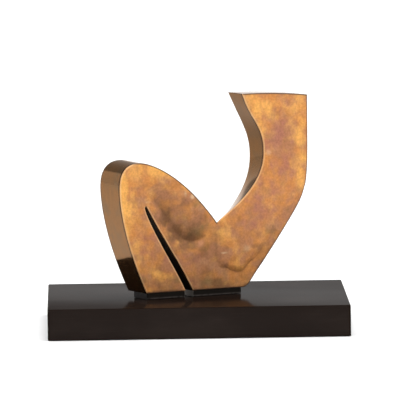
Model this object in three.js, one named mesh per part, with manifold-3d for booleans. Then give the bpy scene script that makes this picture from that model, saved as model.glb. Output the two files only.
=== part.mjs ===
// A seated bather cast in bronze as one thick slab, on two thin pads and a black wooden plinth.
// Millimetres, +Z up. The origin is the middle of the plinth's underside, and its front looks along -Y.
import * as THREE from 'three';
import { mergeVertices } from 'three/addons/utils/BufferGeometryUtils.js';
import Module from 'manifold-3d';

const wasm = await Module();
wasm.setup();

// Plinth
const PLINTH_WIDTH = 300;
const PLINTH_DEPTH = 252;
const PLINTH_HEIGHT = 31;
const PLINTH_CORNER = 2.4; // radius of the upright corners
const PLINTH_EASE = 0.9; // radius of the eased top and bottom edges

// Pads between bronze and plinth
const PAD_HEIGHT = 6.4; // from the plinth to the bronze
const PAD_INSET = 0.6; // how far a pad stays inside the bronze at its front and ends
const PAD_SHORTFALL = 6; // how far it stops short of the bronze's back
const PAD_CORNER = 1.2;
const SEATING_GAP = 0.3; // left between pieces that rest on each other

// Bronze figure
const FIGURE_HEIGHT = 195;
const FIGURE_TURN = THREE.MathUtils.degToRad(27); // its right end is turned away from the front
const FACE_LEFT = 5.8; // the figure's own origin lies this far left of the plinth's middle
const FACE_FORWARD = 25; // and this far in front of it
const KNEE_DEPTH = 43.5; // front to back at the knee
const TORSO_DEPTH = 29; // front to back through the torso
const ROLL_HEIGHT = 3; // how far the thigh swells out of the face
const FOLD_DEPTH = 2.6; // how far the fold under the thigh goes in
const HIP_HEIGHT = 1.1; // step up from the seat to the hip
const ROLL_REACH = 0.12; // share of the height over which the thigh swells up from its fold
const FOLD_REACH = 0.022; // share of the height over which the fold fades out below it
const BACK_CARVING = 0.6; // the back carries the same forms at this share of their height
const RELIEF_CELL = 4.8; // spacing of the carved faces' grid
const WALL_STEPS = 5; // steps through the figure's depth, for the walls that twist
const CURVE_STEP = 4; // longest step along a curved outline
const STRAIGHT_STEP = 400; // a straight edge stays one step

const plinthWood = new THREE.MeshStandardMaterial({ color: 0x2b2826, roughness: 0.35, metalness: 0 });
const padMetal = new THREE.MeshStandardMaterial({ color: 0x3a302a, roughness: 0.5, metalness: 0.8 });
const bronze = new THREE.MeshStandardMaterial({ color: 0xc98c5c, roughness: 0.45, metalness: 0.9 });

// Places on the figure are shares of its height: across from its own origin, and up from its foot.
function at(across, up) {
  return new THREE.Vector2(across * FIGURE_HEIGHT, up * FIGURE_HEIGHT);
}

const toe = at(-0.259, 0);
const footInner = at(-0.032, 0);
const seatInner = at(0.009, 0);
const heel = at(0.296, 0);
const shinFront = at(-0.405, 0.542);
const neckFace = at(0.312, 1);
const neckBack = at(0.694, 0.979);
const spineBend = at(0.693, 0.76);
const loin = at(0.604, 0.369);
const seatBack = at(0.338, 0.02);
const slitTop = at(-0.2625, 0.4405);
const slitTopInner = at(-0.249, 0.441);

// Behind, the notch between thigh and chest is cut lower and wider, and the hollow of the chest lies a little
// farther left: flare is 0 on the face, 1 on the back.
function outlineCurves(flare) {
  const blend = (front, back) => front.clone().lerp(back, flare);
  const kneeBend = blend(at(-0.369, 0.672), at(-0.369, 0.676));
  const kneeTop = blend(at(-0.29, 0.672), at(-0.29, 0.676));
  const thighStart = blend(at(-0.16, 0.672), at(-0.16, 0.676));
  const thighEnd = blend(at(0.056, 0.48), at(0.1, 0.43));
  const notch = blend(at(0.153, 0.344), at(0.231, 0.31));
  const bellyStart = blend(at(0.19, 0.381), at(0.36, 0.427));
  const bellyEnd = blend(at(0.434, 0.504), at(0.428, 0.527));
  const chestHollow = blend(at(0.434, 0.694), at(0.428, 0.669));
  const chestStart = blend(at(0.434, 0.842), at(0.428, 0.78));
  const chestEnd = blend(at(0.366, 0.839), at(0.388, 0.831));
  const neckFront = blend(neckFace, at(0.307, 1));
  const curve = (a, b, c, d) => ({ path: new THREE.CubicBezierCurve(a, b, c, d), step: CURVE_STEP });
  const arc = (a, b, c) => ({ path: new THREE.QuadraticBezierCurve(a, b, c), step: CURVE_STEP });
  const line = (a, b) => ({ path: new THREE.LineCurve(a, b), step: STRAIGHT_STEP });
  return [
    curve(toe, at(-0.376, 0.256), at(-0.405, 0.442), shinFront),
    curve(shinFront, at(-0.405, 0.626), kneeBend, kneeTop),
    curve(kneeTop, thighStart, thighEnd, notch),
    curve(notch, bellyStart, bellyEnd, chestHollow),
    curve(chestHollow, chestStart, chestEnd, neckFront),
    arc(neckFront, at(0.52, 1.001), neckBack),
    line(neckBack, spineBend),
    curve(spineBend, at(0.6915, 0.55), at(0.685, 0.484), loin),
    curve(loin, at(0.464, 0.17), at(0.376, 0.071), seatBack),
    arc(seatBack, at(0.319, 0), heel),
    line(heel, seatInner),
    curve(seatInner, at(-0.0655, 0.15), at(-0.1545, 0.2675), slitTopInner),
    arc(slitTopInner, at(-0.2575, 0.45), slitTop),
    curve(slitTop, at(-0.239, 0.3425), at(-0.0805, 0.11), footInner),
    line(footInner, toe),
  ];
}

// The same steps are taken on both faces, so that their points answer one another.
function outlinePoints(flare) {
  const faceCurves = outlineCurves(0);
  return outlineCurves(flare).flatMap(({ path }, index) => {
    const { path: facePath, step } = faceCurves[index];
    const steps = Math.max(1, Math.ceil(facePath.getLength() / step));
    return path.getPoints(steps).slice(0, -1);
  });
}

// A carved line on the face, as close points along a smooth curve through a few places.
function carvedLine(places) {
  return new THREE.SplineCurve(places).getPoints(40);
}

const foldLine = carvedLine([
  at(-0.235, 0.49),
  at(-0.175, 0.441),
  at(-0.135, 0.378),
  at(-0.082, 0.303),
  at(-0.02, 0.259),
  at(0.046, 0.259),
  at(0.108, 0.292),
]);

const creaseLine = carvedLine([
  at(0.15, 0.38),
  at(0.146, 0.25),
  at(0.156, 0.13),
  at(0.21, 0.102),
  at(0.285, 0.084),
  at(0.345, 0.129),
  at(0.42, 0.2),
  at(0.56, 0.37),
]);

// Distance from a carved line, above zero on its left as it runs.
function side(carving, point) {
  let nearest = Infinity;
  let sign = 1;
  for (let i = 1; i < carving.length; i += 1) {
    const along = carving[i].clone().sub(carving[i - 1]);
    const out = point.clone().sub(carving[i - 1]);
    const share = THREE.MathUtils.clamp(out.dot(along) / along.lengthSq(), 0, 1);
    const distance = out.clone().addScaledVector(along, -share).length();
    if (distance < nearest) {
      nearest = distance;
      sign = Math.sign(along.cross(out)) || 1;
    }
  }
  return nearest * sign;
}

// How far the carving stands out of the flat face at a place on it.
function reliefHeight(x, z) {
  const { smoothstep } = THREE.MathUtils;
  const point = new THREE.Vector2(x, z);
  const across = x / FIGURE_HEIGHT;
  const up = z / FIGURE_HEIGHT;

  const overFold = side(foldLine, point) / FIGURE_HEIGHT;
  const thigh = smoothstep(across, -0.27, -0.03) * (1 - smoothstep(across, 0.06, 0.145));
  const swell = Math.sin(Math.min(1, Math.max(0, overFold) / ROLL_REACH) * Math.PI / 2);
  const belowFold = Math.exp(-((Math.min(0, overFold) / FOLD_REACH) ** 2));
  const fold = overFold > 0 ? (ROLL_HEIGHT + FOLD_DEPTH) * swell - FOLD_DEPTH : -FOLD_DEPTH * belowFold;

  const insideCrease = side(creaseLine, point) / FIGURE_HEIGHT;
  const hip = HIP_HEIGHT * smoothstep(insideCrease, -0.01, 0.03) * (1 - smoothstep(up, 0.4, 0.62));
  return thigh * fold + hip * smoothstep(across, 0.12, 0.18);
}

// The back leans away from the face over the legs and runs level with it behind the torso.
function depthAt(x) {
  const lean = (KNEE_DEPTH - TORSO_DEPTH) / (neckFace.x - shinFront.x);
  return TORSO_DEPTH + lean * Math.max(0, neckFace.x - x);
}

function toManifold(geometry) {
  const merged = geometry.clone();
  for (const name of Object.keys(merged.attributes)) {
    if (name !== 'position') merged.deleteAttribute(name);
  }
  const { attributes, index } = mergeVertices(merged, 1e-4);
  return new wasm.Manifold(new wasm.Mesh({
    numProp: 3,
    vertProperties: new Float32Array(attributes.position.array),
    triVerts: new Uint32Array(index.array),
  }));
}

function fromManifold(solid) {
  const { vertProperties, triVerts } = solid.getMesh();
  const geometry = new THREE.BufferGeometry();
  geometry.setAttribute('position', new THREE.BufferAttribute(new Float32Array(vertProperties), 3));
  geometry.setIndex(Array.from(triVerts));
  geometry.computeVertexNormals();
  return geometry;
}

function meshOf(vertices, triangles) {
  const geometry = new THREE.BufferGeometry();
  geometry.setAttribute('position', new THREE.Float32BufferAttribute(vertices.flat(), 3));
  geometry.setIndex(triangles.flat());
  return geometry;
}

// The figure's outline carried through its depth, from ahead of the face to behind the back.
function outlineBlock(near, far) {
  const face = outlinePoints(0);
  const back = outlinePoints(1);
  const depth = depthAt(outlineCurves(0)[2].path.v3.x);
  const count = face.length;
  const ring = (y) => face.map((point, i) => {
    const place = point.clone().lerp(back[i], y / depth);
    return [place.x, y, place.y];
  });
  const rings = [];
  for (let k = 0; k <= WALL_STEPS; k += 1) rings.push(ring(THREE.MathUtils.lerp(near, far, k / WALL_STEPS)));
  const cap = (points) => {
    const flat = points.map(([x, , z]) => new THREE.Vector2(x, z));
    return THREE.ShapeUtils.triangulateShape(flat, []);
  };
  const last = WALL_STEPS * count;
  const triangles = [
    ...cap(rings[0]),
    ...cap(rings[WALL_STEPS]).map(([a, b, c]) => [a + last, c + last, b + last]),
  ];
  for (let k = 0; k < last; k += count) {
    for (let i = 0; i < count; i += 1) {
      const next = (i + 1) % count;
      triangles.push([k + i, k + next, k + i + count], [k + next, k + next + count, k + i + count]);
    }
  }
  return meshOf(rings.flat(), triangles);
}

// A block whose one side, at y = surface(x, z), is carved, and whose other side is flat at y = flatY.
function carvedBlock(surface, flatY) {
  const margin = RELIEF_CELL;
  const low = new THREE.Vector2(shinFront.x - margin, -margin);
  const high = new THREE.Vector2(neckBack.x + margin, FIGURE_HEIGHT + margin);
  const columns = Math.ceil((high.x - low.x) / RELIEF_CELL);
  const rows = Math.ceil((high.y - low.y) / RELIEF_CELL);
  const vertices = [];
  for (let j = 0; j <= rows; j += 1) {
    for (let i = 0; i <= columns; i += 1) {
      const x = THREE.MathUtils.lerp(low.x, high.x, i / columns);
      const z = THREE.MathUtils.lerp(low.y, high.y, j / rows);
      vertices.push([x, surface(x, z), z]);
    }
  }
  const id = (i, j) => j * (columns + 1) + i;
  const corners = [[low.x, low.y], [high.x, low.y], [high.x, high.y], [low.x, high.y]];
  const first = vertices.length;
  corners.forEach(([x, z]) => vertices.push([x, flatY, z]));

  const triangles = [[first, first + 2, first + 1], [first, first + 3, first + 2]];
  for (let j = 0; j < rows; j += 1) {
    for (let i = 0; i < columns; i += 1) {
      triangles.push([id(i, j), id(i + 1, j), id(i + 1, j + 1)], [id(i, j), id(i + 1, j + 1), id(i, j + 1)]);
    }
  }
  const edges = [
    Array.from({ length: columns + 1 }, (_, i) => id(i, 0)),
    Array.from({ length: rows + 1 }, (_, j) => id(columns, j)),
    Array.from({ length: columns + 1 }, (_, i) => id(columns - i, rows)),
    Array.from({ length: rows + 1 }, (_, j) => id(0, rows - j)),
  ];
  edges.forEach((edge, k) => {
    const start = first + k;
    const end = first + (k + 1) % 4;
    for (let i = 1; i < edge.length; i += 1) triangles.push([edge[i], edge[i - 1], start]);
    triangles.push([start, end, edge[edge.length - 1]]);
  });
  // Seen from -Y these faces turn the right way round, so a block on that side is used as it is.
  const facesForward = surface(low.x, low.y) < flatY;
  return meshOf(vertices, facesForward ? triangles : triangles.map(([a, b, c]) => [a, c, b]));
}

function buildFigure() {
  const beyond = 4 * (ROLL_HEIGHT + HIP_HEIGHT); // well clear of the carving on both sides
  const outline = toManifold(outlineBlock(-beyond, KNEE_DEPTH + beyond));
  const carvedFace = toManifold(carvedBlock((x, z) => -reliefHeight(x, z), KNEE_DEPTH + 2 * beyond));
  const backSurface = (x, z) => depthAt(x) + BACK_CARVING * reliefHeight(x, z);
  const carvedBack = toManifold(carvedBlock(backSurface, -2 * beyond));
  const mesh = new THREE.Mesh(fromManifold(outline.intersect(carvedFace).intersect(carvedBack)), bronze);
  mesh.name = 'bather_figure';
  return mesh;
}

function roundedRectangle(left, right, front, back, radius) {
  const shape = new THREE.Shape();
  shape.moveTo(left + radius, front);
  shape.lineTo(right - radius, front);
  shape.absarc(right - radius, front + radius, radius, -Math.PI / 2, 0);
  shape.lineTo(right, back - radius);
  shape.absarc(right - radius, back - radius, radius, 0, Math.PI / 2);
  shape.lineTo(left + radius, back);
  shape.absarc(left + radius, back - radius, radius, Math.PI / 2, Math.PI);
  shape.lineTo(left, front + radius);
  shape.absarc(left + radius, front + radius, radius, Math.PI, Math.PI * 1.5);
  return shape;
}

function buildPad(name, left, right) {
  const back = depthAt(right) - PAD_SHORTFALL;
  const shape = roundedRectangle(left + PAD_INSET, right - PAD_INSET, PAD_INSET, back, PAD_CORNER);
  const height = PAD_HEIGHT - 2 * SEATING_GAP;
  const mesh = new THREE.Mesh(
    new THREE.ExtrudeGeometry(shape, { depth: height, bevelEnabled: false, curveSegments: 4 }),
    padMetal,
  );
  mesh.name = name;
  mesh.position.z = SEATING_GAP - PAD_HEIGHT;
  return mesh;
}

function buildPlinth() {
  const shape = roundedRectangle(
    -PLINTH_WIDTH / 2, PLINTH_WIDTH / 2, -PLINTH_DEPTH / 2, PLINTH_DEPTH / 2, PLINTH_CORNER,
  );
  const geometry = new THREE.ExtrudeGeometry(shape, {
    depth: PLINTH_HEIGHT - 2 * PLINTH_EASE,
    bevelThickness: PLINTH_EASE,
    bevelSize: PLINTH_EASE,
    bevelOffset: -PLINTH_EASE,
    bevelSegments: 3,
    curveSegments: 6,
  });
  const mesh = new THREE.Mesh(geometry, plinthWood);
  mesh.name = 'plinth';
  mesh.position.z = PLINTH_EASE;
  return mesh;
}

const figure = new THREE.Group();
figure.add(
  buildFigure(),
  buildPad('foot_pad', toe.x, footInner.x),
  buildPad('seat_pad', seatInner.x, heel.x),
);
figure.position.set(-FACE_LEFT, -FACE_FORWARD, PLINTH_HEIGHT + PAD_HEIGHT);
figure.rotation.z = FIGURE_TURN;

const group = new THREE.Group();
group.add(figure, buildPlinth());

export default group;
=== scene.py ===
"""The bronze bather on its black plinth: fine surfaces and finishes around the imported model.

Scene lengths are metres in the part's own frame, +Z up and the plinth's front towards -Y. The figure's
own frame is worked out in millimetres: across the face, up from its foot, and back from its face.
"""

import logging
import math
from collections.abc import Sequence
from dataclasses import dataclass, field
from enum import Enum
from typing import Any, ClassVar

import bpy
import numpy as np
from mathutils import Matrix, Vector, noise
from mathutils.geometry import delaunay_2d_cdt


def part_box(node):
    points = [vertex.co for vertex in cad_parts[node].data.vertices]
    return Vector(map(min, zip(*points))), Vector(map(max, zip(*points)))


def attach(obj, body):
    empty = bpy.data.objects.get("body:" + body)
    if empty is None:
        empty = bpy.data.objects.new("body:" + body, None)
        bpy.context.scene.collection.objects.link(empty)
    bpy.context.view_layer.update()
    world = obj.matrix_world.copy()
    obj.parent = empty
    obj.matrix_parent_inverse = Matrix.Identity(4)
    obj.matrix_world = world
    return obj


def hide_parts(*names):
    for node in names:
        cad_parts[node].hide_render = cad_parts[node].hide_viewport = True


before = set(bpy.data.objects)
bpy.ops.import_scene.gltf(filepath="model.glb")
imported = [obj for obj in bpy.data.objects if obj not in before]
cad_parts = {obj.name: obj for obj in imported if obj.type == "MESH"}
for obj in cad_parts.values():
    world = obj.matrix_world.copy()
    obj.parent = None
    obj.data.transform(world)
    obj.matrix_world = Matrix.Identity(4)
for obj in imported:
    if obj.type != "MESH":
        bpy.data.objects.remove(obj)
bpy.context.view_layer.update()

LOG = logging.getLogger("bather")
MM = 0.001
IMAGE_WIDTH = 400

Colour = tuple[float, float, float]


class Node(Enum):
    """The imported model's nodes."""

    FIGURE = "bather_figure"
    FOOT_PAD = "foot_pad"
    SEAT_PAD = "seat_pad"
    PLINTH = "plinth"


class Slot(Enum):
    """Two material slot names, which nothing here gives to the new pieces."""

    BRONZE = "bronze"
    WOOD = "plinth_wood"


class Wire:
    """A shader value that Python's operators work on."""

    def __init__(self, recipe: "Recipe", socket: bpy.types.NodeSocket) -> None:
        """Wrap one output socket.

        Args:
            recipe: The material the socket belongs to.
            socket: The output to wrap.
        """
        self.recipe = recipe
        self.socket = socket

    def _maths(self, operation: str, first: Any, second: Any = None) -> "Wire":
        """Add a Math node.

        Args:
            operation: Its operation.
            first: Its first value.
            second: Its second value, where it has one.

        Returns:
            The node's result.
        """
        inputs = {0: first} if second is None else {0: first, 1: second}
        return self.recipe.node("ShaderNodeMath", {"operation": operation}, inputs)

    def __add__(self, other: Any) -> "Wire":
        """Sum of two values."""
        return self._maths("ADD", self, other)

    def __radd__(self, other: Any) -> "Wire":
        """Sum with a plain number in front."""
        return self._maths("ADD", other, self)

    def __sub__(self, other: Any) -> "Wire":
        """Difference of two values."""
        return self._maths("SUBTRACT", self, other)

    def __rsub__(self, other: Any) -> "Wire":
        """A plain number less this value."""
        return self._maths("SUBTRACT", other, self)

    def __mul__(self, other: Any) -> "Wire":
        """Product of two values."""
        return self._maths("MULTIPLY", self, other)

    def __rmul__(self, other: Any) -> "Wire":
        """Product with a plain number in front."""
        return self._maths("MULTIPLY", other, self)

    def clamp(self) -> "Wire":
        """This value kept between 0 and 1."""
        return self.recipe.node("ShaderNodeClamp", {}, {"Value": self})

    def between(self, low: float, high: float) -> "Wire":
        """Rise smoothly from 0 to 1 as this value goes from one bound to the other.

        Args:
            low: Where the result is 0.
            high: Where the result is 1. It may be less than low.

        Returns:
            The eased share.
        """
        if high < low:
            return 1 - self.between(high, low)
        settings = {"interpolation_type": "SMOOTHSTEP"}
        bounds = {"Value": self, "From Min": low, "From Max": high}
        return self.recipe.node("ShaderNodeMapRange", settings, bounds)


class Recipe:
    """The shader of one material or world, and the ways to add nodes to it."""

    def __init__(self, owner: bpy.types.Material | bpy.types.World) -> None:
        """Start an empty shader.

        Args:
            owner: The new material or world.
        """
        self.owner = owner
        owner.use_nodes = True
        self.tree = owner.node_tree
        self.tree.nodes.clear()

    def add(self, kind: str, settings: dict[str, Any], inputs: dict[Any, Any]) -> bpy.types.Node:
        """Add any node.

        Args:
            kind: The node's type.
            settings: Its properties, set before its sockets.
            inputs: Values or Wires by socket name or number.

        Returns:
            The node.
        """
        made = self.tree.nodes.new(kind)
        for name, value in settings.items():
            setattr(made, name, value)
        for key, value in inputs.items():
            socket = made.inputs[key]
            if isinstance(value, Wire):
                self.tree.links.new(value.socket, socket)
            elif socket.type == "RGBA" and len(value) == 3:
                socket.default_value = (*value, 1.0)
            else:
                socket.default_value = value
        return made

    def node(self, kind: str, settings: dict[str, Any], inputs: dict[Any, Any], output: Any = 0) -> Wire:
        """Add any node and take one of its outputs.

        Args:
            kind: The node's type.
            settings: Its properties.
            inputs: Values or Wires by socket name or number.
            output: The output's name or number.

        Returns:
            That output.
        """
        return Wire(self, self.add(kind, settings, inputs).outputs[output])

    def place(self, kind: str = "Object") -> Wire:
        """Where a point lies, or which way it faces: one of the texture coordinates."""
        return self.node("ShaderNodeTexCoord", {}, {}, kind)

    def noise(self, size: float, detail: float = 3.0, roughness: float = 0.55, stretch: Colour = (1, 1, 1),
              seed: float = 0.0) -> Wire:
        """Add a noise pattern fixed to the piece.

        Args:
            size: Size of its largest features, in metres.
            detail: How many finer layers it has.
            roughness: How strong those are.
            stretch: How much longer the features are along each axis.
            seed: Shifts the pattern, in features.

        Returns:
            The pattern, about 0 to 1.
        """
        scale = tuple(1 / (size * share) for share in stretch)
        shift = (seed, seed, seed)
        moved = {"Vector": self.place(), "Scale": scale, "Location": shift}
        where = self.node("ShaderNodeMapping", {}, moved)
        inputs = {"Vector": where, "Scale": 1.0, "Detail": detail, "Roughness": roughness}
        return self.node("ShaderNodeTexNoise", {}, inputs)

    def attribute(self, name: str) -> Wire:
        """Read one of the piece's own values, such as its distance from an edge."""
        return self.node("ShaderNodeAttribute", {"attribute_name": name}, {}, "Fac")

    def mix(self, share: Any, first: Any, second: Any, blend: str = "MIX") -> Wire:
        """Blend two colours.

        Args:
            share: How much of the second shows.
            first: The first colour or Wire.
            second: The second colour or Wire.
            blend: The way they blend.

        Returns:
            The blended colour.
        """
        settings = {"data_type": "RGBA", "blend_type": blend}
        return self.node("ShaderNodeMix", settings, {0: share, 6: first, 7: second}, 2)

    def bump(self, height: Wire, distance: float, strength: float = 1.0) -> Wire:
        """Turn a height pattern into a normal.

        Args:
            height: The pattern.
            distance: The height of a full step, in metres.
            strength: How much of it shows.

        Returns:
            The normal.
        """
        inputs = {"Height": height, "Distance": distance, "Strength": strength}
        return self.node("ShaderNodeBump", {}, inputs, "Normal")

    def ramp(self, share: Wire, stops: Sequence[tuple[float, float]]) -> Wire:
        """Look a grey up along a ramp.

        Args:
            share: How far along to look.
            stops: Places along the ramp and the grey at each.

        Returns:
            The grey.
        """
        made = self.add("ShaderNodeValToRGB", {}, {0: share})
        elements = made.color_ramp.elements
        while len(elements) < len(stops):
            elements.new(0.5)
        for element, (spot, grey) in zip(elements, stops):
            element.position = spot
            element.color = (grey, grey, grey, 1.0)
        return Wire(self, made.outputs[0])

    def surface(self, **inputs: Any) -> bpy.types.Material:
        """Close the material with a Principled shader.

        Args:
            **inputs: Its sockets, with underscores for spaces.

        Returns:
            The finished material.
        """
        named = {key.replace("_", " "): value for key, value in inputs.items()}
        shader = self.node("ShaderNodeBsdfPrincipled", {}, named)
        self.add("ShaderNodeOutputMaterial", {}, {"Surface": shader})
        return self.owner


class Tint(Enum):
    """The patches on the bronze: patina tints and scuffs, the brown that paints shade on the faces, and a
    painted shade on the upper chest wall. Each name is also the mesh value that holds their strength.
    """

    BROWN = "brown"
    ROSE = "rose"
    OLIVE = "olive"
    GOLD = "gold"
    SCUFF = "scuff"
    CHEST_WALL_SHADE = "tarnish"


@dataclass(frozen=True)
class GoldenPatina:
    """Mottled golden brown patina of the carved faces, with painted shade in its hollows, a painted glint
    along the arrises on their lit sides and a painted dark line along the arrises on their shaded sides.
    """

    name: str = "golden_patina"
    amber: Colour = (0.500, 0.208, 0.060)
    copper: Colour = (0.365, 0.162, 0.076)
    pale: Colour = (0.450, 0.255, 0.125)
    gold: Colour = (0.660, 0.330, 0.085)
    rose: Colour = (0.340, 0.138, 0.090)
    olive: Colour = (0.250, 0.152, 0.058)
    glint: Colour = (0.700, 0.420, 0.200)
    brown: Colour = (0.165, 0.078, 0.036)
    scuff: Colour = (0.620, 0.450, 0.270)
    # Colour of the painted dark line along the arrises on the shaded side.
    line: Colour = (0.060, 0.026, 0.012)

    def make(self) -> bpy.types.Material:
        """Build the material."""
        recipe = Recipe(bpy.data.materials.new(self.name))
        cloud = recipe.noise(0.024, 2.0, seed=1.7)
        mottle = recipe.noise(0.0105, 1.4, 0.45, seed=5.1)
        other = recipe.noise(0.0130, 1.4, 0.45, seed=9.4)
        grain = recipe.noise(0.0022, 4.0, 0.68, seed=2.2)
        rim = recipe.attribute("rim")
        hollow = recipe.attribute("hollow")

        colour = recipe.mix((0.45 * mottle + 0.55 * cloud).between(0.40, 0.60), self.copper, self.amber)
        colour = recipe.mix(other.between(0.52, 0.68) * 0.22, colour, self.pale)
        tints = {
            Tint.BROWN: (self.brown, 0.80, 1.8), Tint.ROSE: (self.rose, 0.85, 1.8),
            Tint.OLIVE: (self.olive, 0.80, 1.8), Tint.GOLD: (self.gold, 1.0, 1.8),
            Tint.SCUFF: (self.scuff, 0.75, 0.4),
        }
        for number, (tint, (shade, most, ragged)) in enumerate(tints.items()):
            blot = recipe.noise(0.0110, 1.6, 0.48, seed=12.3 + 3.1 * number)
            patch = recipe.attribute(tint.value) + ragged * (blot - 0.5)
            colour = recipe.mix(patch.between(0.05, 0.90) * most, colour, shade)
        # Painted shade: darker brown in the hollow under the thigh's fold, beside the crease, in the grooves
        # and on the lower back facet.
        colour = recipe.mix((hollow * (0.45 + 0.6 * cloud)).clamp(), colour, self.brown)
        speckle = recipe.mix(grain.between(0.30, 0.70), (0.86, 0.86, 0.86), (1.14, 1.14, 1.14))
        colour = recipe.mix(1.0, colour, speckle, "MULTIPLY")
        lee = recipe.attribute("lee")
        # Painted glint: a lighter cream-gold band along the arrises, only on the lit sides.
        lighter_tone = rim.between(1.7, 0.8) * (0.20 + 0.7 * other) * (1 - lee)
        colour = recipe.mix(lighter_tone.clamp(), colour, self.glint)
        # Painted shade: a dark line along the arrises on the shaded side, those facing right and up and along
        # the bottom.
        edge = (rim.between(1.15, 0.75) * lee).clamp()
        colour = recipe.mix(edge, colour, self.line)

        roughness = 0.40 + 0.24 * mottle + 0.1 * hollow
        height = 0.6 * grain + 0.5 * mottle + 0.3 * recipe.noise(0.0007, 2.0, seed=3.3)
        return recipe.surface(
            Base_Color=colour, Roughness=roughness, Metallic=0.82 - 0.3 * edge,
            Normal=recipe.bump(height, 0.0002, 0.8),
        )


@dataclass(frozen=True)
class PolishedWall:
    """Dull brown polish of the figure's narrow sides, with a painted dark line along their arrises, a painted
    shade on the upper chest wall, and painted shade inside the slit, near black deep in.
    """

    name: str = "polished_wall"
    body: Colour = (0.172, 0.082, 0.028)
    warm: Colour = (0.200, 0.088, 0.026)
    dull: Colour = (0.142, 0.080, 0.036)
    tarnish: Colour = (0.072, 0.030, 0.008)
    sheen: Colour = (1.0, 0.88, 0.78)
    line: Colour = (0.040, 0.014, 0.004)
    slit_mouth_shade: Colour = (0.050, 0.032, 0.020)
    slit_deep_shade: Colour = (0.004, 0.003, 0.002)

    def make(self) -> bpy.types.Material:
        """Build the material."""
        recipe = Recipe(bpy.data.materials.new(self.name))
        streak = recipe.noise(0.006, 4.0, 0.6, stretch=(1, 1, 5), seed=4.2)
        cloud = recipe.noise(0.016, 3.0, seed=7.7)
        fine = recipe.noise(0.0016, 3.0, 0.6, stretch=(1, 1, 4), seed=1.1)
        rim = recipe.attribute("rim")
        slit = recipe.attribute("slit")

        colour = recipe.mix(streak.between(0.35, 0.65), self.body, self.warm)
        colour = recipe.mix(cloud.between(0.46, 0.66) * 0.8, colour, self.dull)
        # Painted shade: the upper chest wall darker, standing for the dimmer surroundings it reflects.
        colour = recipe.mix(recipe.attribute(Tint.CHEST_WALL_SHADE.value), colour, self.tarnish)
        colour = recipe.mix(1.0, colour, recipe.mix(fine, (0.82, 0.82, 0.82), (1.16, 1.16, 1.16)), "MULTIPLY")
        # Painted shade: a dark line along the arrises of the walls.
        colour = recipe.mix(rim.between(4.2, 1.2) * 0.9, colour, self.line)
        # Painted shade inside the slit: near black away from its mouths and less dark near them, with a few
        # flecks of the wall's own colour.
        inside = recipe.mix(rim.between(9.0, 1.5), self.slit_deep_shade, self.slit_mouth_shade)
        flecks = recipe.noise(0.0014, 3.0, 0.7, seed=6.6).between(0.56, 0.66) * 0.8
        colour = recipe.mix(slit, colour, recipe.mix(flecks * rim.between(6.0, 1.0), inside, self.body))
        roughness = 0.07 + 0.08 * streak + 0.4 * slit
        height = 0.6 * cloud + 0.25 * streak
        return recipe.surface(
            Base_Color=colour, Roughness=roughness, Metallic=0.95, Specular_Tint=self.sheen,
            Normal=recipe.bump(height, 0.0002, 0.2),
        )


@dataclass(frozen=True)
class DarkPad:
    """Blackened metal of a pad, with a painted grey highlight just above its lower edge and a colour of its
    own on its ends.
    """

    turn: float
    low: float
    name: str
    end_tone: Colour
    body: Colour = (0.006, 0.004, 0.002)
    edge_highlight: Colour = (0.050, 0.042, 0.038)

    def make(self) -> bpy.types.Material:
        """Build the material."""
        recipe = Recipe(bpy.data.materials.new(self.name))
        cloud = recipe.noise(0.004, 4.0, 0.65, seed=6.1)
        grain = recipe.noise(0.0008, 2.0, seed=8.3)
        along = (math.cos(self.turn), math.sin(self.turn), 0.0)
        settings = {"operation": "DOT_PRODUCT"}
        dot = recipe.node("ShaderNodeVectorMath", settings, {0: recipe.place("Normal"), 1: along}, "Value")
        end = (dot * dot).between(0.5, 0.9)
        height = recipe.node("ShaderNodeSeparateXYZ", {}, {0: recipe.place()}, "Z") - self.low
        # Painted highlight: a grey band just above the pad's lower edge.
        band = height.between(0.0002, 0.0005) * height.between(0.0020, 0.0012) * cloud.between(0.30, 0.55)
        colour = recipe.mix(band, self.body, self.edge_highlight)
        colour = recipe.mix(end, colour, self.end_tone)
        return recipe.surface(
            Base_Color=colour, Roughness=0.50 - 0.22 * end, Metallic=0.7, Specular_IOR_Level=0.3,
            Normal=recipe.bump(grain, 0.0001, 0.5),
        )


@dataclass(frozen=True)
class BlackLacquer:
    """Thin satin black lacquer on wood, whose grain just shows."""

    name: str = "black_lacquer"
    body: Colour = (0.0105, 0.0062, 0.0045)
    lighter_tone: Colour = (0.0150, 0.0096, 0.0074)
    dust: Colour = (0.0300, 0.0190, 0.0150)

    def make(self) -> bpy.types.Material:
        """Build the material."""
        recipe = Recipe(bpy.data.materials.new(self.name))
        grain = recipe.noise(0.0018, 4.0, 0.6, stretch=(28, 1, 1), seed=3.9)
        cloud = recipe.noise(0.035, 3.0, stretch=(2.5, 1, 1), seed=0.6)
        colour = recipe.mix(cloud.between(0.40, 0.70), self.body, self.lighter_tone)
        colour = recipe.mix(grain.between(0.56, 0.80) * 0.45, colour, self.dust)
        arris = recipe.attribute("arris").clamp()
        colour = recipe.mix(arris * 0.8, colour, self.body)
        coat = (0.125 + 0.030 * cloud) * (1 - 0.92 * arris)
        height = 0.7 * grain + 0.3 * cloud
        return recipe.surface(
            Base_Color=colour, Roughness=0.62, Specular_IOR_Level=0.0, Coat_Weight=coat, Coat_Roughness=0.13,
            Normal=recipe.bump(height, 0.00006, 0.35),
        )


@dataclass(frozen=True)
class PaleFloor:
    """Plain white sweep that the plinth stands on."""

    name: str = "pale_floor"
    body: Colour = (0.90, 0.90, 0.90)

    def make(self) -> bpy.types.Material:
        """Build the material."""
        recipe = Recipe(bpy.data.materials.new(self.name))
        return recipe.surface(Base_Color=self.body, Roughness=0.9, Specular_IOR_Level=0.1)


def linked(name: str, data: bpy.types.ID) -> bpy.types.Object:
    """A new object in the scene that shows a mesh, lamp or camera."""
    made = bpy.data.objects.new(name, data)
    bpy.context.scene.collection.objects.link(made)
    return made


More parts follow.
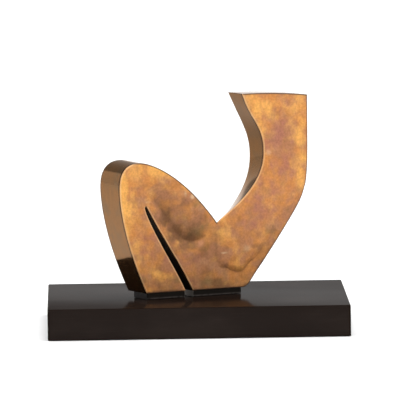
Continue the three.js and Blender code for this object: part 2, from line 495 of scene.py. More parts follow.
def smooth_mesh(name: str, points: Sequence[Sequence[float]], polygons: Sequence[tuple[int, ...]],
                values: dict[str, Sequence[float]]) -> bpy.types.Mesh:
    """Make a smooth mesh with values for its shader.

    Args:
        name: Its name.
        points: Its points, in metres.
        polygons: Its faces, as point numbers.
        values: The shader's values by name, one at each point.

    Returns:
        The mesh.
    """
    mesh = bpy.data.meshes.new(name)
    mesh.from_pydata(points, [], polygons)
    mesh.polygons.foreach_set("use_smooth", [True] * len(polygons))
    for value, data in values.items():
        mesh.attributes.new(value, "FLOAT", "POINT").data.foreach_set("value", data)
    return mesh


def eased(value: np.ndarray, low: float, high: float) -> np.ndarray:
    """Rise smoothly from 0 to 1 between two bounds.

    Args:
        value: The values.
        low: Where the result is 0.
        high: Where the result is 1.

    Returns:
        The eased shares.
    """
    share = np.clip((value - low) / (high - low), 0, 1)
    return share * share * (3 - 2 * share)


def faded(gap: np.ndarray, reach: float) -> np.ndarray:
    """1 on a line, dying away to both sides over a reach."""
    return np.exp(-((gap / reach) ** 2))


def bezier(controls: np.ndarray, share: np.ndarray) -> np.ndarray:
    """Points on a Bezier curve of any degree.

    Args:
        controls: Its control points, one a row.
        share: How far along each point lies, 0 to 1.

    Returns:
        The points, one a row.
    """
    degree = len(controls) - 1
    points = np.zeros((len(share), controls.shape[1]))
    for i, control in enumerate(controls):
        weight = math.comb(degree, i) * share**i * (1 - share) ** (degree - i)
        points += weight[:, None] * control
    return points


def flowing_line(places: np.ndarray, steps: int = 40) -> np.ndarray:
    """Close points along a smooth curve through a few places.

    Args:
        places: The places, one a row.
        steps: How many steps to take.

    Returns:
        The points, one a row.
    """
    last = len(places) - 1
    points = []
    for step in range(steps + 1):
        spot = step / steps * last
        i = min(int(spot), last - 1)
        t = spot - i
        before, here, there = places[max(i - 1, 0)], places[i], places[i + 1]
        after = places[min(i + 2, last)]
        leave, arrive = (there - before) / 2, (after - here) / 2
        points.append(
            (2 * here - 2 * there + leave + arrive) * t**3
            + (-3 * here + 3 * there - 2 * leave - arrive) * t**2
            + leave * t
            + here
        )
    return np.array(points)


def nearest(line: np.ndarray, points: np.ndarray, closed: bool = False) -> tuple[np.ndarray, np.ndarray]:
    """Distance from a line and which side of it each point lies on.

    Args:
        line: The line's points, one a row.
        points: The points to measure, one a row.
        closed: Whether the line runs on from its last point to its first.

    Returns:
        The distances, above zero on the line's left, and how far along the line, 0 to 1.
    """
    start = line if closed else line[:-1]
    along = (np.roll(line, -1, axis=0) if closed else line[1:]) - start
    squared = (along**2).sum(axis=1)
    signed = np.empty(len(points))
    share = np.empty(len(points))
    chunk = 4000
    for first in range(0, len(points), chunk):
        part = points[first:first + chunk]
        out = part[:, None, :] - start[None]
        t = np.clip((out * along).sum(axis=2) / squared, 0, 1)
        gap = np.hypot(*np.moveaxis(out - t[..., None] * along, 2, 0))
        best = gap.argmin(axis=1)
        rows = np.arange(len(part))
        turn = along[best, 0] * out[rows, best, 1] - along[best, 1] * out[rows, best, 0]
        signed[first:first + chunk] = gap[rows, best] * np.where(turn < 0, -1, 1)
        share[first:first + chunk] = (best + t[rows, best]) / len(start)
    return signed, share


def rough_field(points: np.ndarray, size: float, seed: float) -> np.ndarray:
    """Smooth random heights between about -1 and 1.

    Args:
        points: Where to take them, one a row.
        size: The size of a bump, in the points' units.
        seed: Which of the fields to take.

    Returns:
        The heights.
    """
    return np.array([noise.noise(Vector((x / size, z / size, seed))) for x, z in points])


@dataclass(frozen=True)
class Stain:
    """A soft patch of a tint: its middle and reach are shares of the figure's height."""

    across: float
    up: float
    wide: float
    tall: float
    strength: float


STAINS = {
    Tint.GOLD: (
        Stain(-0.385, 0.52, 0.035, 0.20, 1.0), Stain(-0.33, 0.625, 0.09, 0.05, 0.8),
        Stain(-0.19, 0.625, 0.11, 0.035, 0.7), Stain(-0.13, 0.59, 0.05, 0.03, 0.5),
        Stain(0.48, 0.86, 0.05, 0.04, 0.45), Stain(-0.03, 0.555, 0.08, 0.04, 0.5),
        Stain(-0.37, 0.33, 0.03, 0.12, 0.6), Stain(0.42, 0.93, 0.10, 0.07, 0.55),
        Stain(0.62, 0.93, 0.07, 0.08, 0.45), Stain(0.20, 0.28, 0.04, 0.07, 0.5),
        Stain(0.65, 0.60, 0.045, 0.14, 0.85), Stain(0.27, 0.12, 0.05, 0.04, 0.45),
        Stain(0.50, 0.30, 0.06, 0.08, 0.3), Stain(-0.30, 0.20, 0.05, 0.10, 0.45),
        Stain(-0.36, 0.43, 0.06, 0.18, 0.55), Stain(0.42, 0.80, 0.05, 0.07, 0.55),
        Stain(0.65, 0.74, 0.035, 0.14, 0.65), Stain(-0.16, 0.635, 0.12, 0.05, 0.80),
        Stain(-0.20, 0.10, 0.06, 0.05, 0.35),
    ),
    Tint.ROSE: (
        Stain(0.50, 0.78, 0.10, 0.10, 0.6), Stain(0.55, 0.60, 0.09, 0.16, 0.5),
        Stain(0.40, 0.42, 0.09, 0.10, 0.6), Stain(-0.24, 0.27, 0.06, 0.08, 0.5),
        Stain(-0.05, 0.16, 0.10, 0.08, 0.35), Stain(0.40, 0.87, 0.05, 0.03, 0.5),
        Stain(0.45, 0.52, 0.07, 0.08, 0.45), Stain(0.37, 0.33, 0.05, 0.06, 0.45),
    ),
    Tint.OLIVE: (
        Stain(0.44, 0.27, 0.05, 0.08, 0.25), Stain(0.03, 0.30, 0.08, 0.05, 0.45),
        Stain(0.05, 0.50, 0.04, 0.09, 0.45), Stain(-0.13, 0.06, 0.14, 0.04, 0.35),
        Stain(0.10, 0.04, 0.14, 0.03, 0.35),
    ),
    # Brown: painted shade under the thigh's fold, beside the crease, over the sunken lower middle and along
    # the bottom above the pads.
    Tint.BROWN: (
        Stain(-0.02, 0.36, 0.12, 0.10, 0.30), Stain(-0.13, 0.28, 0.05, 0.12, 0.55),
        Stain(-0.16, 0.40, 0.03, 0.06, 0.45), Stain(-0.095, 0.30, 0.045, 0.05, 1.40),
        Stain(0.01, 0.236, 0.07, 0.024, 1.20), Stain(0.078, 0.265, 0.035, 0.028, 0.60),
        Stain(-0.14, 0.385, 0.045, 0.05, 1.10), Stain(-0.09, 0.27, 0.05, 0.06, 0.60),
        Stain(0.49, 0.26, 0.035, 0.05, 0.60), Stain(0.12, 0.03, 0.09, 0.025, 0.85),
        Stain(0.22, 0.03, 0.07, 0.02, 0.60), Stain(-0.20, 0.035, 0.07, 0.012, 0.20),
        Stain(-0.03, 0.26, 0.09, 0.05, 0.55), Stain(0.07, 0.18, 0.06, 0.16, 0.45),
        Stain(0.43, 0.19, 0.06, 0.06, 0.65), Stain(0.14, 0.0, 0.18, 0.018, 1.10),
        Stain(-0.15, 0.0, 0.16, 0.014, 1.0),
    ),
    Tint.SCUFF: (
        Stain(0.005, 0.485, 0.014, 0.012, 0.9), Stain(-0.035, 0.505, 0.010, 0.020, 0.6),
        Stain(0.19, 0.185, 0.022, 0.006, 0.7), Stain(0.46, 0.69, 0.020, 0.020, 0.5),
        Stain(-0.246, 0.470, 0.020, 0.008, 0.4), Stain(0.33, 0.20, 0.030, 0.020, 0.5),
    ),
    # Painted shade on the upper chest wall, read only by the walls' finish.
    Tint.CHEST_WALL_SHADE: (
        Stain(0.38, 0.88, 0.12, 0.26, 0.80),
    ),
}


@dataclass
class Outline:
    """The bather's outline: curves whose places are shares of the figure's height."""

    SLIT_FIRST: ClassVar[int] = 11
    SLIT_LAST: ClassVar[int] = 13

    height: float
    step: float = 1.0
    slit_span: tuple[int, int] = (0, 0)

    def at(self, across: float, up: float) -> np.ndarray:
        """A place on the face, in millimetres, from shares of the height."""
        return np.array([across, up]) * self.height

    def curves(self, flare: float) -> list[np.ndarray]:
        """The outline's curves in order, from the toe up the shin and round.

        Args:
            flare: 0 on the face and 1 on the back, where the notch of the lap is cut lower and wider.

        Returns:
            Control points of a line, a quadratic or a cubic curve each.
        """
        at = self.at

        def blend(front: np.ndarray, back: np.ndarray) -> np.ndarray:
            """A place that shifts from face to back."""
            return front + (back - front) * flare

        toe, foot_inner, seat_inner, heel = at(-0.259, 0), at(-0.032, 0), at(0.009, 0), at(0.296, 0)
        shin_front = at(-0.405, 0.542)
        knee_bend = blend(at(-0.369, 0.672), at(-0.369, 0.676))
        knee_top = blend(at(-0.29, 0.672), at(-0.29, 0.676))
        thigh_start = blend(at(-0.16, 0.672), at(-0.16, 0.676))
        thigh_end = blend(at(0.056, 0.48), at(0.1, 0.43))
        notch = blend(at(0.153, 0.344), at(0.231, 0.31))
        belly_start = blend(at(0.19, 0.381), at(0.36, 0.427))
        belly_end = blend(at(0.434, 0.504), at(0.428, 0.527))
        chest_hollow = blend(at(0.434, 0.694), at(0.428, 0.669))
        chest_start = blend(at(0.434, 0.842), at(0.428, 0.78))
        chest_end = blend(at(0.366, 0.839), at(0.388, 0.831))
        neck_front = blend(at(0.312, 1.0), at(0.307, 1.0))
        neck_back, spine_bend = at(0.694, 0.979), at(0.693, 0.76)
        loin, seat_back = at(0.604, 0.369), at(0.338, 0.02)
        slit_top, slit_top_inner = at(-0.2625, 0.4405), at(-0.249, 0.441)
        paths = [
            (toe, at(-0.376, 0.256), at(-0.405, 0.442), shin_front),
            (shin_front, at(-0.405, 0.626), knee_bend, knee_top),
            (knee_top, thigh_start, thigh_end, notch),
            (notch, belly_start, belly_end, chest_hollow),
            (chest_hollow, chest_start, chest_end, neck_front),
            (neck_front, at(0.52, 1.001), neck_back),
            (neck_back, spine_bend),
            (spine_bend, at(0.6915, 0.55), at(0.685, 0.484), loin),
            (loin, at(0.464, 0.17), at(0.376, 0.071), seat_back),
            (seat_back, at(0.319, 0), heel),
            (heel, seat_inner),
            (seat_inner, at(-0.0655, 0.15), at(-0.1545, 0.2675), slit_top_inner),
            (slit_top_inner, at(-0.2575, 0.45), slit_top),
            (slit_top, at(-0.239, 0.3425), at(-0.0805, 0.11), foot_inner),
            (foot_inner, toe),
        ]
        return [np.array(path) for path in paths]

    def rounds(self) -> tuple[np.ndarray, np.ndarray]:
        """Points of the whole outline on the face and, answering them, on the back.

        Returns:
            The two rounds, one point a row, clockwise as seen from the front.
        """
        faces, backs, starts = [], [], [0]
        dense = np.linspace(0, 1, 401)
        for front, back in zip(self.curves(0), self.curves(1)):
            walked = np.r_[0, np.cumsum(np.hypot(*np.diff(bezier(front, dense), axis=0).T))]
            count = max(2, math.ceil(walked[-1] / self.step))
            share = np.interp(np.linspace(0, walked[-1], count + 1)[:-1], walked, dense)
            faces.append(bezier(front, share))
            backs.append(bezier(back, share))
            starts.append(starts[-1] + count)
        self.slit_span = (starts[self.SLIT_FIRST], starts[self.SLIT_LAST + 1])
        return np.vstack(faces), np.vstack(backs)


FOLD = (
    (-0.235, 0.49), (-0.175, 0.441), (-0.135, 0.378), (-0.082, 0.303), (-0.02, 0.259), (0.046, 0.259),
    (0.108, 0.292),
)
CREASE = (
    (0.15, 0.38), (0.146, 0.25), (0.156, 0.13), (0.21, 0.102), (0.285, 0.084), (0.345, 0.129), (0.42, 0.2),
    (0.56, 0.37),
)


@dataclass
class Carving:
    """The carved forms of a face, as heights in millimetres at places on it."""

    outline: Outline
    roll_height: float = 3.0
    fold_depth: float = 2.6
    roll_reach: float = 0.12
    fold_reach: float = 0.022
    fold_shade: float = 0.64
    shade_above: float = 0.055
    shade_below: float = 0.012
    hip_height: float = 1.1
    hip_shade: float = 0.55
    shade_left: float = 0.035
    shade_right: float = 0.006
    groove_depth: float = 0.34
    groove_width: float = 0.75
    notch_width: float = 0.8
    facet_depth: float = 0.5
    facet_width: float = 2.8
    fold: np.ndarray = field(init=False)
    crease: np.ndarray = field(init=False)

    def __post_init__(self) -> None:
        """Lay out the two carved lines."""
        at = self.outline.at
        self.fold = flowing_line(np.array([at(*place) for place in FOLD]))
        self.crease = flowing_line(np.array([at(*place) for place in CREASE]))

    def forms(self, points: np.ndarray) -> tuple[np.ndarray, np.ndarray]:
        """The thigh's swell over its fold and the hip's step, as on the solid but for where the fold fades.

        Args:
            points: Places on the face, one a row.

        Returns:
            Their heights, and how strong the painted shade is at each place, 0 to 1.
        """
        height = self.outline.height
        across, up = points[:, 0] / height, points[:, 1] / height
        over = nearest(self.fold, points)[0] / height
        thigh = eased(across, -0.26, -0.08) * (1 - eased(across, -0.02, 0.15))
        swell = np.sin(np.clip(over, 0, self.roll_reach) / self.roll_reach * math.pi / 2)
        below = faded(np.minimum(over, 0), self.fold_reach)
        rise = (self.roll_height + self.fold_depth) * swell - self.fold_depth
        fold = np.where(over > 0, rise, -self.fold_depth * below)
        inside = nearest(self.crease, points)[0] / height
        hip = self.hip_height * eased(inside, -0.01, 0.03) * (1 - eased(up, 0.4, 0.62))
        hip = hip * eased(across, 0.12, 0.18)
        shade = eased(across, -0.245, -0.19) * (1 - eased(across, 0.02, 0.12))
        shade = shade * np.where(over > 0, np.exp(-over / self.shade_above), faded(over, self.shade_below))
        beside = self.hip_shade * eased(up, 0.10, 0.17) * (1 - eased(up, 0.24, 0.36))
        beside = beside * (1 - eased(across, 0.2, 0.26))
        dies = np.where(inside < 0, np.exp(inside / self.shade_left), faded(inside, self.shade_right))
        hollow = np.maximum(self.fold_shade * shade, beside * dies)
        return thigh * fold + hip, hollow

    def fine(self, points: np.ndarray, seed: float) -> tuple[np.ndarray, np.ndarray]:
        """Tool marks and the uneven skin of the casting.

        Args:
            points: Places on the face, one a row.
            seed: Which random skin to take.

        Returns:
            Their heights, and how strong the painted shade is at each place, 0 to 1.
        """
        wander = 2.0 * rough_field(points, 9.0, seed + 11.0) + 0.5 * rough_field(points, 2.5, seed + 12.0)
        gap, along = nearest(self.crease, points)
        reach = eased(along, 0.22, 0.45) * (1 - eased(along, 0.70, 0.97))
        reach = reach * (0.75 + 0.5 * rough_field(points, 11.0, seed + 13.0))
        groove = reach * faded(gap + wander, self.groove_width)
        gap, along = nearest(self.fold, points)
        notch = eased(along, 0.04, 0.12) * (1 - eased(along, 0.30, 0.60)) * faded(gap, self.notch_width)
        cut = np.maximum(groove, notch)
        skin = 0.16 * rough_field(points, 9.0, seed) + 0.05 * rough_field(points, 2.8, seed + 5.0)
        return skin - self.groove_depth * cut, 0.7 * cut

    def facet(self, points: np.ndarray, margin: np.ndarray) -> tuple[np.ndarray, np.ndarray]:
        """The narrow facet along the lower back edge.

        Args:
            points: Places on the face, one a row.
            margin: How far each lies from the outline, in millimetres.

        Returns:
            How far it drops, and how strong the painted shade on it is, 0 to 1.
        """
        across, up = (points / self.outline.height).T
        here = eased(across, 0.34, 0.40) * (1 - eased(up, 0.38, 0.46))
        drop = self.facet_depth * here * (1 - eased(margin, 0.3, self.facet_width))
        return drop, 0.55 * here * (1 - eased(margin, 1.9, 2.6))


@dataclass
class Bather:
    """The figure: one thick bronze slab with carved faces, soft arrises and polished sides."""

    origin: Vector
    height: float
    turn: float
    knee_depth: float = 43.5
    torso_depth: float = 29.0
    arris: float = 0.7
    arris_steps: int = 4
    wall_step: float = 2.2
    mesh_step: float = 1.15
    back_share: float = 0.6
    back_line: float = 1.6
    chest_clear: float = 9.0
    side_shading: float = 0.85
    foot_shading: float = 0.75
    outline: Outline = field(init=False)
    carving: Carving = field(init=False)

    def __post_init__(self) -> None:
        """Make the outline and the carving at this figure's height."""
        self.outline = Outline(self.height)
        self.carving = Carving(self.outline)
        self.face_round, self.back_round = self.outline.rounds()
        at = self.outline.at
        self.lean_from = at(0.312, 1)[0]
        self.lean = (self.knee_depth - self.torso_depth) / (self.lean_from - at(-0.405, 0)[0])
        self.notch_depth = float(self.depth_at(at(0.153, 0)[:1])[0])

    def depth_at(self, across: np.ndarray) -> np.ndarray:
        """Front to back through the slab, which leans away behind the legs."""
        return self.torso_depth + self.lean * np.maximum(0, self.lean_from - across)

    def round_at(self, deep: np.ndarray) -> np.ndarray:
        """The outline where it passes given depths behind the face.

        Args:
            deep: The depth at each point of the round.

        Returns:
            The points, one a row.
        """
        share = (deep / self.notch_depth)[:, None]
        return self.face_round + (self.back_round - self.face_round) * share

    @staticmethod
    def inward(round_points: np.ndarray) -> np.ndarray:
        """The way into the metal at each point, long enough at corners to keep an even border.

        Args:
            round_points: A clockwise round, one point a row.

        Returns:
            One vector a row.
        """
        ahead = np.roll(round_points, -1, axis=0) - round_points
        ahead /= np.hypot(*ahead.T)[:, None]
        right = np.stack([ahead[:, 1], -ahead[:, 0]], axis=1)
        before = np.roll(right, 1, axis=0)
        middle = right + before
        middle /= np.hypot(*middle.T)[:, None]
        return middle / np.maximum((middle * right).sum(axis=1), 0.45)[:, None]

    def inset(self, edge: np.ndarray, width: float) -> np.ndarray:
        """A round moved into the metal, with the points that would pass a corner drawn back to it.

        Args:
            edge: The round, one point a row.
            width: How far it moves.

        Returns:
            The moved round.
        """
        moved = edge + self.inward(edge) * width
        if width < 0.05:
            return moved
        number = np.arange(len(edge))
        sound = np.abs(nearest(edge, moved, closed=True)[0]) > 0.998 * width
        columns = [np.interp(number, number[sound], column[sound], period=len(edge)) for column in moved.T]
        return np.stack(columns, axis=1)

    def level(self, points: np.ndarray, margin: np.ndarray, is_back: bool) -> tuple[np.ndarray, np.ndarray]:
        """Depth of a carved face behind the flat face.

        Args:
            points: Places on the face, one a row.
            margin: How far each lies from the outline, in millimetres.
            is_back: Whether it is the plainer back.

        Returns:
            The depths, and how strong the painted shade is at each place, 0 to 1.
        """
        forms, hollow = self.carving.forms(points)
        skin, cut = self.carving.fine(points, 40.0 if is_back else 3.0)
        drop, dark = self.carving.facet(points, margin)
        height = forms + skin - drop
        if is_back:
            return self.depth_at(points[:, 0]) + self.back_share * height, self.back_share * hollow
        return -height, np.maximum(hollow, np.maximum(cut, dark))

    def arris_rings(self, is_back: bool) -> list[tuple[np.ndarray, np.ndarray]]:
        """Rings of the soft edge, from the wall over to the face.

        Args:
            is_back: Whether it is the back's edge.

        Returns:
            Places and depths of each ring.
        """
        towards = -1 if is_back else 1
        ends = self.round_at(np.where(is_back, self.depth_at(self.face_round[:, 0]), 0))
        level = self.level(ends, np.zeros(len(ends)), is_back)[0]
        rings = []
        for k in range(self.arris_steps + 1):
            angle = math.pi / 2 * k / self.arris_steps
            deep = level + towards * self.arris * (1 - math.sin(angle))
            edge = self.round_at(deep)
            rings.append((self.inset(edge, self.arris * (1 - math.cos(angle))), deep))
        return rings

    def fill_face(self, border: np.ndarray) -> tuple[np.ndarray, list[tuple[int, ...]]]:
        """Cover the inside of a round with even triangles.

        Args:
            border: The round, one point a row.

        Returns:
            The points, the border's own first, and the triangles.
        """
        step = self.mesh_step
        low, high = border.min(axis=0), border.max(axis=0)
        rows = np.arange(low[1], high[1], step * math.sqrt(3) / 2)
        grid = []
        for j, up in enumerate(rows):
            across = np.arange(low[0] + (j % 2) * step / 2, high[0], step)
            grid.append(np.stack([across, np.full(len(across), up)], axis=1))
        inner = np.vstack(grid)
        signed = nearest(border, inner, closed=True)[0]
        inner = inner[signed < -0.55 * step]
        points = np.vstack([border, inner])
        count = len(border)
        edges = [(i, (i + 1) % count) for i in range(count)]
        found = delaunay_2d_cdt([Vector(point) for point in points], edges, [], 1, 1e-6)
        places, triangles, sources = found[0], found[2], found[3]
        back_to = {new: min(old) for new, old in enumerate(sources) if old}
        if len(back_to) != len(places):
            raise ValueError("the face's round crosses itself")
        return points, [tuple(back_to[v] for v in triangle) for triangle in triangles]

    def build(self, faces: bpy.types.Material, walls: bpy.types.Material) -> bpy.types.Object:
        """Build the figure and dress it.

        Args:
            faces: The material of the two carved faces.
            walls: The material of the narrow sides.

        Returns:
            The finished piece.
        """
        count = len(self.face_round)
        low, high = self.outline.slit_span
        in_slit = ((np.arange(count) >= low) & (np.arange(count) < high)).astype(float)
        outward = -self.inward(self.face_round)
        # Shaded side: outline points facing right and up, and those along the bottom, take a painted dark
        # line on their arris and no painted glint.
        lee = self.side_shading * eased(outward @ np.array([1.0, 0.35]), 0.0, 0.4) * (1 - in_slit)
        lee = np.maximum(lee, self.foot_shading * eased(-outward[:, 1], 0.75, 0.95))
        rows: list[np.ndarray] = []
        polygons: list[tuple[int, ...]] = []
        slots: list[int] = []
        rim: list[np.ndarray] = []
        hollows: list[np.ndarray] = []
        shaded_sides: list[np.ndarray] = []
        slit: list[np.ndarray] = []

        def add_points(places: np.ndarray, deep: np.ndarray, edge: np.ndarray, hollow: np.ndarray,
                       shaded_side_here: np.ndarray, slit_here: np.ndarray | None = None) -> int:
            """Add points and return the number of the first."""
            first = sum(len(row) for row in rows)
            rows.append(np.column_stack([places[:, 0], deep, places[:, 1]]))
            rim.append(edge)
            hollows.append(hollow)
            shaded_sides.append(shaded_side_here)
            slit.append(np.zeros(len(places)) if slit_here is None else slit_here)
            return first

        def bridge(first: int, second: int, slot: int) -> None:
            """Join two rings with quads that face outwards when the second lies behind the first."""
            for i in range(count):
                after = (i + 1) % count
                polygons.append((first + i, first + after, second + after, second + i))
                slots.append(slot)

        front, back = self.arris_rings(False), self.arris_rings(True)
        flat = np.zeros(count)
        ends: list[list[int]] = []
        for rings, is_back in ((front, False), (back, True)):
            numbers = []
            for k, (places, deep) in enumerate(rings):
                edge = np.full(count, 0.2 * k / self.arris_steps)
                numbers.append(add_points(places, deep, edge, flat, lee))
            border = rings[-1][0]
            points, triangles = self.fill_face(border)
            inner = points[count:]
            gap, share = nearest(border, inner, closed=True)
            margin = np.abs(gap) + self.arris
            deep, hollow = self.level(inner, margin, is_back)
            start = add_points(inner, deep, margin, hollow, lee[(share * count).astype(int) % count])
            number = [numbers[-1] + i for i in range(count)] + [start + i for i in range(len(inner))]
            for triangle in triangles:
                polygons.append(tuple(number[v] for v in (triangle[::-1] if is_back else triangle)))
                slots.append(0)
            ends.append(numbers)
        for k in range(self.arris_steps):
            bridge(ends[0][k + 1], ends[0][k], 0)
            bridge(ends[1][k], ends[1][k + 1], 0)

        near, far = front[0][1], back[0][1]
        chest = self.chest_clear * (self.face_round[:, 0] > self.outline.at(0.1, 0)[0])
        steps = math.ceil(float((far - near).max()) / self.wall_step)
        previous = ends[0][0]
        for k in range(1, steps):
            deep = near + (far - near) * k / steps
            # Distance to the nearer arris, which sets the painted dark line on the walls and the painted
            # shade inside the slit; on the torso side the back arris is kept clear of the line.
            edge = np.minimum(deep - near, self.back_line * (far - deep) + chest) + 0.2
            ring = add_points(self.round_at(deep), deep, edge, flat, flat, in_slit)
            bridge(previous, ring, 1)
            previous = ring
        bridge(previous, ends[1][0], 1)

        values = {"rim": rim, "hollow": hollows, "lee": shaded_sides, "slit": slit}
        joined = {name: np.concatenate(parts) for name, parts in values.items()}
        piece = self.to_object(np.vstack(rows), polygons, slots, joined)
        piece.data.materials.append(faces)
        piece.data.materials.append(walls)
        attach(piece, "root")
        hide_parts(Node.FIGURE.value)
        return piece

    def stain(self, local: np.ndarray, tint: Tint) -> np.ndarray:
        """How strongly one tint shows at each point.

        Args:
            local: Points in the figure's own millimetres, one a row.
            tint: The tint.

        Returns:
            Its strength, 0 to about 1.
        """
        across, up = local[:, 0] / self.height, local[:, 2] / self.height
        strength = np.zeros(len(local))
        for patch in STAINS[tint]:
            far = ((across - patch.across) / patch.wide) ** 2 + ((up - patch.up) / patch.tall) ** 2
            strength = np.maximum(strength, patch.strength * np.exp(-far))
        return strength

    def to_object(self, local: np.ndarray, polygons: Sequence[tuple[int, ...]], slots: Sequence[int],
                  values: dict[str, np.ndarray]) -> bpy.types.Object:
        """Turn the figure's points into a placed mesh with its own values.

        Args:
            local: Points in the figure's own millimetres, one a row.
            polygons: Faces, as point numbers.
            slots: The material number of each face.
            values: The shader's values by name, one at each point.

        Returns:
            The object, at the origin.
        """
        cos, sin = math.cos(self.turn), math.sin(self.turn)
        placed = np.column_stack([
            self.origin.x + MM * (cos * local[:, 0] - sin * local[:, 1]),
            self.origin.y + MM * (sin * local[:, 0] + cos * local[:, 1]),
            self.origin.z + MM * local[:, 2],
        ])
        stains = {tint.value: self.stain(local, tint) for tint in Tint}
        shown = {name: data.astype(np.float32) for name, data in (values | stains).items()}
        mesh = smooth_mesh("bather", placed.tolist(), polygons, shown)
        mesh.polygons.foreach_set("material_index", slots)
        mesh.update()
        return linked("bather", mesh)


@dataclass
class Plinth:
    """The plinth: a low black block with eased arrises."""

    low: Vector
    high: Vector
    corner: float = 0.0024
    ease: float = 0.0009
    ease_steps: int = 5
    corner_steps: int = 8
    sharp_angle: float = math.radians(35)

    def ring(self, inset: float, up: float) -> list[tuple[float, float, float]]:
        """A round-cornered ring.

        Args:
            inset: How far it lies inside the block's sides.
            up: Its height.

        Returns:
            Its points, anticlockwise from above.
        """
        radius = max(self.corner - inset, 0.0002)
        left, right = self.low.x + inset + radius, self.high.x - inset - radius
        front, back = self.low.y + inset + radius, self.high.y - inset - radius
        points = []
        for quarter, (x, y) in enumerate([(right, front), (right, back), (left, back), (left, front)]):
            for k in range(self.corner_steps + 1):
                angle = math.pi / 2 * (quarter - 1 + k / self.corner_steps)
                points.append((x + radius * math.cos(angle), y + radius * math.sin(angle), up))
        return points

    @staticmethod
    def roundness(step: int, steps: int) -> float:
        """How far round an arris a step lies: 0 at both ends and 1 in the middle."""
        return math.sqrt(max(0.0, math.sin(math.pi * step / steps)))

    def build(self, lacquer: bpy.types.Material) -> bpy.types.Object:
        """Build the plinth and dress it.

        Args:
            lacquer: Its finish.

        Returns:
            The finished piece.
        """
        profile = []
        for k in range(self.ease_steps + 1):
            angle = math.pi / 2 * k / self.ease_steps
            profile.append((self.ease * (1 - math.sin(angle)), self.ease * (1 - math.cos(angle))))
        levels = [(inset, self.low.z + rise) for inset, rise in profile]
        levels += [(inset, self.high.z - rise) for inset, rise in reversed(profile)]
        points = []
        for inset, up in levels:
            points += self.ring(inset, up)
        count = len(points) // len(levels)
        polygons: list[tuple[int, ...]] = [tuple(reversed(range(count)))]
        for k in range(len(levels) - 1):
            for i in range(count):
                after = (i + 1) % count
                low, high = k * count, (k + 1) * count
                polygons.append((low + i, low + after, high + after, high + i))
        top = (len(levels) - 1) * count
        polygons.append(tuple(range(top, top + count)))
        round_corner = [self.roundness(k, self.corner_steps) for k in range(self.corner_steps + 1)] * 4
        eases = [self.roundness(k, self.ease_steps) for k in range(self.ease_steps + 1)]
        flat_end = [0.0] * count
        rounded = [max(ease, corner) for ease in (eases + eases)[1:-1] for corner in round_corner]
        mesh = smooth_mesh("plinth_block", points, polygons, {"arris": flat_end + rounded + flat_end})
        mesh.set_sharp_from_angle(angle=self.sharp_angle)
        mesh.materials.append(lacquer)
        piece = linked("plinth_block", mesh)
        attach(piece, "root")
        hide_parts(Node.PLINTH.value)
        return piece


@dataclass(frozen=True)
class Pad:
    """A pad, whose solid is right as it is and only needs its finish."""

    node: Node
    finish: DarkPad

    def dress(self) -> None:
        """Put the finish on the pad."""
        material = self.finish.make()
        for slot in bpy.data.objects[self.node.value].material_slots:
            slot.material = material


SKY = ((0.0, 0.39), (0.33, 0.39), (0.36, 0.14), (0.70, 0.14), (0.85, 1.0), (1.0, 1.0))


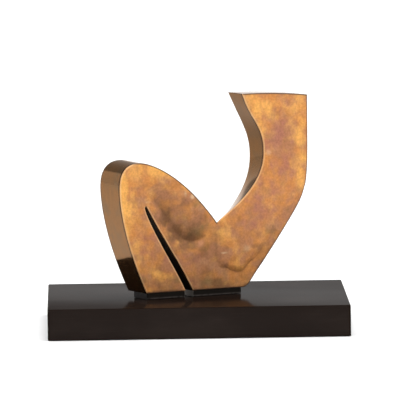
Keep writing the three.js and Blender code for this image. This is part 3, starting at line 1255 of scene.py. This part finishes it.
@dataclass(frozen=True)
class Studio:
    """A white sweep, a soft sky and the photograph's camera."""

    elevation: float = math.radians(5.103)
    azimuth: float = math.radians(-0.949)
    roll: float = math.radians(-0.81)
    distance: float = 7.034
    aim: tuple[float, float, float] = (0.0044, 0.0, 0.1263)
    focal_pixels: float = 7000.0
    floor_size: float = 30.0
    floor_gap: float = 0.0003
    sky_strength: float = 3.0

    def floor(self, finish: bpy.types.Material) -> None:
        """Lay the floor.

        Args:
            finish: Its material.
        """
        half = self.floor_size / 2
        corners = [(-half, -half), (half, -half), (half, half), (-half, half)]
        mesh = bpy.data.meshes.new("floor")
        mesh.from_pydata([(x, y, -self.floor_gap) for x, y in corners], [], [(0, 1, 2, 3)])
        mesh.materials.append(finish)
        ground = linked("floor", mesh)

    def sky(self) -> None:
        """Make a white surround that is dimmer above and bright again overhead."""
        recipe = Recipe(bpy.data.worlds.new("soft_sky"))
        way = recipe.place("Generated")
        up = recipe.node("ShaderNodeSeparateXYZ", {}, {0: way}, "Z")
        behind = recipe.node("ShaderNodeSeparateXYZ", {}, {0: way}, "Y")
        up = up + 0.6 * (behind - 0.67).clamp()
        inputs = {"Color": recipe.ramp(up, SKY), "Strength": self.sky_strength}
        light = recipe.node("ShaderNodeBackground", {}, inputs)
        recipe.add("ShaderNodeOutputWorld", {}, {"Surface": light})
        bpy.context.scene.world = recipe.owner

    def lamp(self, name: str, place: tuple[float, float, float], size: float, power: float) -> None:
        """Hang a square soft lamp that looks at the object.

        Args:
            name: Its name.
            place: Where it hangs.
            size: Its side.
            power: Its power in watts.
        """
        data = bpy.data.lights.new(name, "AREA")
        data.size = size
        data.energy = power
        lamp = linked(name, data)
        lamp.location = place
        lamp.rotation_euler = (Vector(self.aim) - Vector(place)).to_track_quat("-Z", "Y").to_euler()

    def camera(self) -> None:
        """Set up the camera as the photograph's stood."""
        cos_up, sin_up = math.cos(self.elevation), math.sin(self.elevation)
        ahead = Vector((-math.sin(self.azimuth) * cos_up, math.cos(self.azimuth) * cos_up, -sin_up))
        level = Vector((math.cos(self.azimuth), math.sin(self.azimuth), 0))
        upright = level.cross(ahead)
        right = level * math.cos(self.roll) + upright * math.sin(self.roll)
        upward = upright * math.cos(self.roll) - level * math.sin(self.roll)
        data = bpy.data.cameras.new("camera")
        data.lens = self.focal_pixels / IMAGE_WIDTH * data.sensor_width
        data.clip_end = 100.0
        camera = linked("camera", data)
        place = Vector(self.aim) - ahead * self.distance
        turned = Matrix((right, upward, -ahead)).transposed().to_4x4()
        camera.matrix_world = Matrix.Translation(place) @ turned
        bpy.context.scene.camera = camera

    def build(self) -> None:
        """Set up the whole studio."""
        self.camera()
        self.floor(PaleFloor().make())
        self.sky()
        self.lamp("front_right", (2.6, -2.2, 1.7), 1.4, 30.0)
        bpy.context.scene.view_settings.view_transform = "Standard"


def main() -> None:
    """Build every piece in order and note each in the log."""
    logging.basicConfig(level=logging.INFO, format="%(name)s: %(message)s")
    studio = Studio()
    studio.build()
    LOG.info("studio set up")

    low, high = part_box(Node.FIGURE.value)
    figure = Bather(
        origin=Vector((-0.0058, -0.0250, low[2])), height=(high[2] - low[2]) / MM, turn=math.radians(27.0)
    )
    piece = figure.build(GoldenPatina().make(), PolishedWall().make())
    LOG.info("figure: %d faces", len(piece.data.polygons))

    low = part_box(Node.FOOT_PAD.value)[0]
    Pad(Node.FOOT_PAD, DarkPad(figure.turn, low[2], "foot_pad_metal", (0.014, 0.011, 0.010))).dress()
    # The seat pad's ends are light grey: a painted reflection standing for the bright gap between the pads.
    Pad(Node.SEAT_PAD, DarkPad(figure.turn, low[2], "seat_pad_metal", (0.380, 0.350, 0.320))).dress()
    LOG.info("pads dressed")

    low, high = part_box(Node.PLINTH.value)
    block = Plinth(Vector(low), Vector(high)).build(BlackLacquer().make())
    LOG.info("plinth: %d faces", len(block.data.polygons))


if __name__ == "__main__":
    main()
